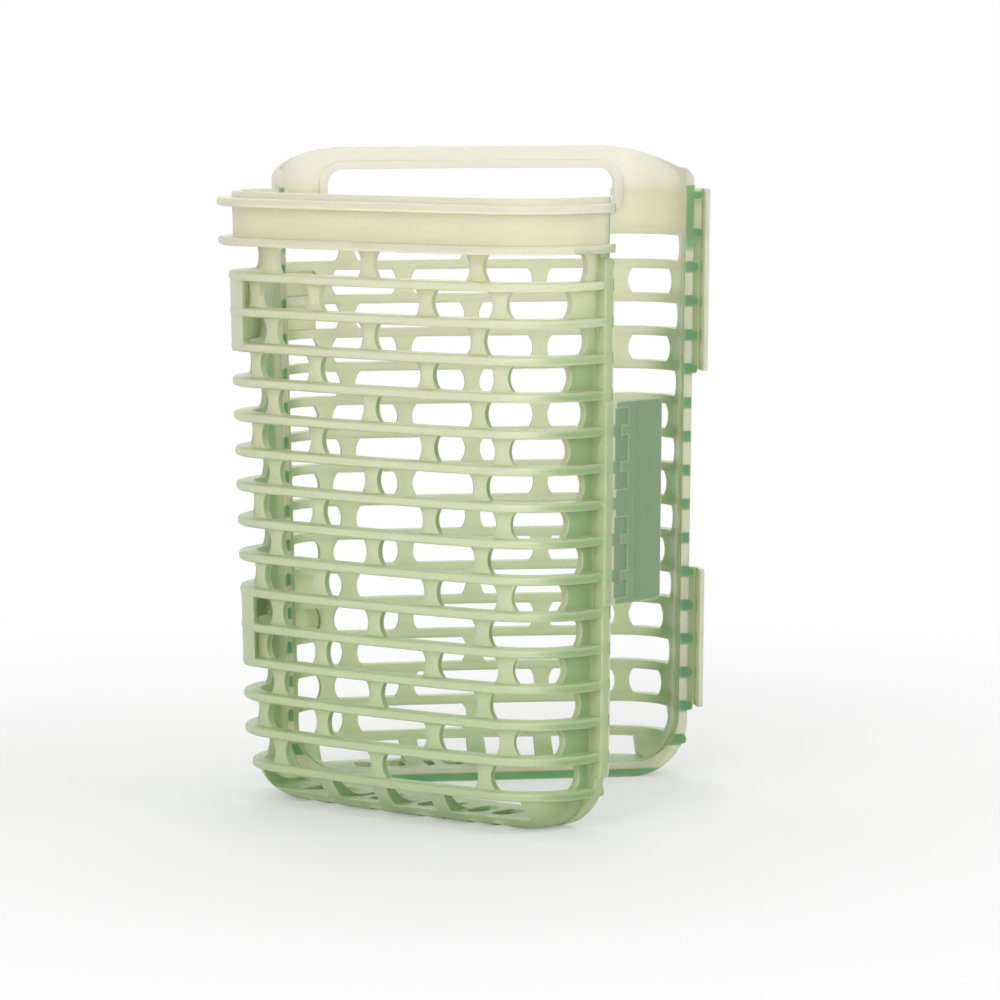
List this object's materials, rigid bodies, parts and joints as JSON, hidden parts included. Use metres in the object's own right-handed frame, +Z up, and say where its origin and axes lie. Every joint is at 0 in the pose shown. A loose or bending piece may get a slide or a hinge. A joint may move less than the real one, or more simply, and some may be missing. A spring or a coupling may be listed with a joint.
{
  "type": "herb keeper basket",
  "caption": "Ribbed plastic lattice basket in two hinged half shells that swing open like a book, with a solid collar, an arched carrying handle and a snap tab on its free side.",
  "frame": {"origin": "on the floor, at mid width, half way through the rear half's bottom rim bar", "axes": "+Z up, +Y from the front half towards the rear half's back wall and handle, +X towards the free side with the clasp tab; the hinges are on -X"},
  "size_m": [0.1452, 0.1455, 0.1829],
  "materials": {
    "basket_plastic": "translucent pale green moulded polypropylene with a soft sheen"
  },
  "bodies": {
    "rear_half": {"rear_basket": "basket_plastic", "upper_hinge_pin": "basket_plastic", "lower_hinge_pin": "basket_plastic"},
    "front_half": {"front_basket": "basket_plastic"}
  },
  "joints": [
    {"name": "front_swing", "type": "hinge", "parent": "rear_half", "child": "front_half", "pos_m": [-0.06234, -0.00215, 0], "axis": [0, 0, 1], "range_deg": [-71, 49]}
  ]
}
